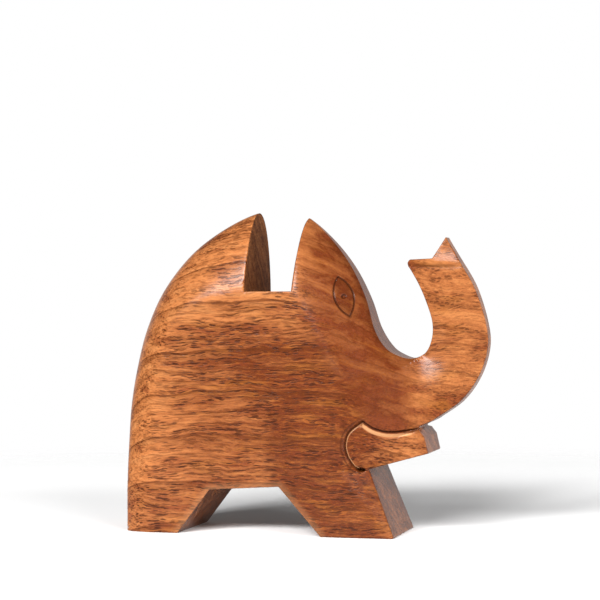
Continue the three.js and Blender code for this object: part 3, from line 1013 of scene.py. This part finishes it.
waxed = wood_material("waxed_wood", tone=1.0, roughness=0.26, specular=0.15)
sawn = wood_material("sawn_wood", tone=0.66, roughness=0.80, specular=0.12, sawn=True)
body.data.materials.append(waxed)
body.data.materials.append(sawn)
middles = np.zeros(3 * len(body.data.polygons), np.float32)
body.data.polygons.foreach_get("center", middles)
body.data.polygons.foreach_set(
    "material_index", is_sawn(middles.reshape(-1, 3) / MM).astype(np.int32))


# ---- camera, floor and light --------------------------------------------------------------------

CAMERA_PLACE = (0.17807, -0.73055, 0.08585)
CAMERA_AZIMUTH, CAMERA_PITCH = 14, 0.2455        # degrees round from square on, and below level
FLOOR_RADIUS, FADE_FROM = 0.45, 0.24
MIDDLE_HEIGHT = 0.055
LIGHT_DISTANCE = 3.2
WORLD_DIM, WORLD_BRIGHT, WORLD_SIDE = 0.03, 0.70, 2.6


def add_camera():
    data = bpy.data.cameras.new("camera")
    data.lens, data.sensor_width = 126, 36
    data.clip_start, data.clip_end = 0.01, 20
    camera = bpy.data.objects.new("camera", data)
    azimuth, pitch = math.radians(CAMERA_AZIMUTH), math.radians(CAMERA_PITCH)
    ahead = Vector((-math.sin(azimuth) * math.cos(pitch), math.cos(azimuth) * math.cos(pitch),
                    -math.sin(pitch)))
    camera.location = CAMERA_PLACE
    camera.rotation_mode = "QUATERNION"
    camera.rotation_quaternion = ahead.to_track_quat("-Z", "Y")
    bpy.context.scene.collection.objects.link(camera)
    bpy.context.scene.camera = camera


def add_floor():
    around = 96
    rim = [(FLOOR_RADIUS * math.cos(2 * math.pi * k / around),
            FLOOR_RADIUS * math.sin(2 * math.pi * k / around), 0) for k in range(around)]
    mesh = bpy.data.meshes.new("table")
    mesh.from_pydata(rim, [], [tuple(range(around))])
    floor = bpy.data.objects.new("table", mesh)
    bpy.context.scene.collection.objects.link(floor)
    paper = bpy.data.materials.new("white_paper")
    paper.use_nodes = True
    shader = paper.node_tree.nodes["Principled BSDF"]
    shader.inputs["Base Color"].default_value = (0.86, 0.86, 0.86, 1)
    shader.inputs["Roughness"].default_value = 0.8
    nodes, links = paper.node_tree.nodes, paper.node_tree.links
    length = nodes.new("ShaderNodeVectorMath")
    length.operation = "LENGTH"
    links.new(nodes.new("ShaderNodeTexCoord").outputs["Object"], length.inputs[0])
    fade = nodes.new("ShaderNodeMapRange")
    fade.interpolation_type = "SMOOTHSTEP"
    links.new(length.outputs["Value"], fade.inputs[0])
    for socket, v in zip(list(fade.inputs)[1:5], (FADE_FROM, FLOOR_RADIUS - 0.02, 1.0, 0.0)):
        socket.default_value = v
    links.new(fade.outputs[0], shader.inputs["Alpha"])
    mesh.materials.append(paper)


def softbox(name, azimuth, elevation, size, watts, glossy=True):
    """A soft rectangular light aimed at the middle of the elephant."""
    a, e = math.radians(azimuth), math.radians(elevation)
    back = Vector((math.sin(a) * math.cos(e), -math.cos(a) * math.cos(e), math.sin(e)))
    data = bpy.data.lights.new(name, "AREA")
    data.shape = "RECTANGLE"
    data.size, data.size_y = size
    data.energy = watts
    light = bpy.data.objects.new(name, data)
    light.location = Vector((0, 0, MIDDLE_HEIGHT)) + back * LIGHT_DISTANCE
    light.rotation_mode = "QUATERNION"
    light.rotation_quaternion = (-back).to_track_quat("-Z", "Y")
    light.visible_glossy = glossy
    bpy.context.scene.collection.objects.link(light)


def add_world():
    """White where the camera sees it. As a light it is bright low down, behind the elephant and
    ahead of its trunk, and dim elsewhere."""
    world = bpy.data.worlds.new("white_room")
    bpy.context.scene.world = world
    world.use_nodes = True
    nodes, links = world.node_tree.nodes, world.node_tree.links

    def ramp(value, low, high, to_low, to_high):
        node = nodes.new("ShaderNodeMapRange")
        node.interpolation_type = "SMOOTHSTEP"
        links.new(value, node.inputs[0])
        for socket, v in zip(list(node.inputs)[1:5], (low, high, to_low, to_high)):
            socket.default_value = v
        return node.outputs[0]

    def product(a, b):
        node = nodes.new("ShaderNodeMath")
        node.operation = "MULTIPLY"
        links.new(a, node.inputs[0])
        links.new(b, node.inputs[1])
        return node.outputs[0]

    way = nodes.new("ShaderNodeSeparateXYZ")
    links.new(nodes.new("ShaderNodeTexCoord").outputs["Generated"], way.inputs[0])
    behind = ramp(way.outputs["Y"], 0.0, 0.8, 0.0, 1.0)
    low = ramp(way.outputs["Z"], 0.15, 0.55, 1.0, 0.1)
    ahead = product(ramp(way.outputs["X"], 0.45, 0.95, 0.0, 1.0),
                    ramp(way.outputs["Z"], 0.05, 0.45, 1.0, 0.0))
    glow = nodes.new("ShaderNodeMath")
    glow.operation = "MAXIMUM"
    links.new(ramp(product(behind, low), 0.0, 1.0, WORLD_DIM, WORLD_BRIGHT), glow.inputs[0])
    links.new(ramp(ahead, 0.0, 1.0, 0.0, WORLD_SIDE), glow.inputs[1])
    seen = nodes["Background"]
    seen.inputs["Color"].default_value = (1, 1, 1, 1)
    links.new(glow.outputs[0], seen.inputs["Strength"])
    sky = nodes.new("ShaderNodeBackground")
    sky.inputs["Color"].default_value = (1, 1, 1, 1)
    path = nodes.new("ShaderNodeLightPath")
    mix = nodes.new("ShaderNodeMixShader")
    links.new(path.outputs["Is Camera Ray"], mix.inputs["Fac"])
    links.new(seen.outputs["Background"], mix.inputs[1])
    links.new(sky.outputs["Background"], mix.inputs[2])
    links.new(mix.outputs["Shader"], nodes["World Output"].inputs["Surface"])


add_camera()
add_floor()
add_world()
softbox("key_light", azimuth=-3, elevation=29, size=(1.5, 0.8), watts=150)
softbox("hump_light", azimuth=-20, elevation=27, size=(0.8, 0.55), watts=75)
softbox("front_light", azimuth=44, elevation=30, size=(1.5, 0.7), watts=64, glossy=False)
bpy.context.scene.view_settings.view_transform = "Standard"
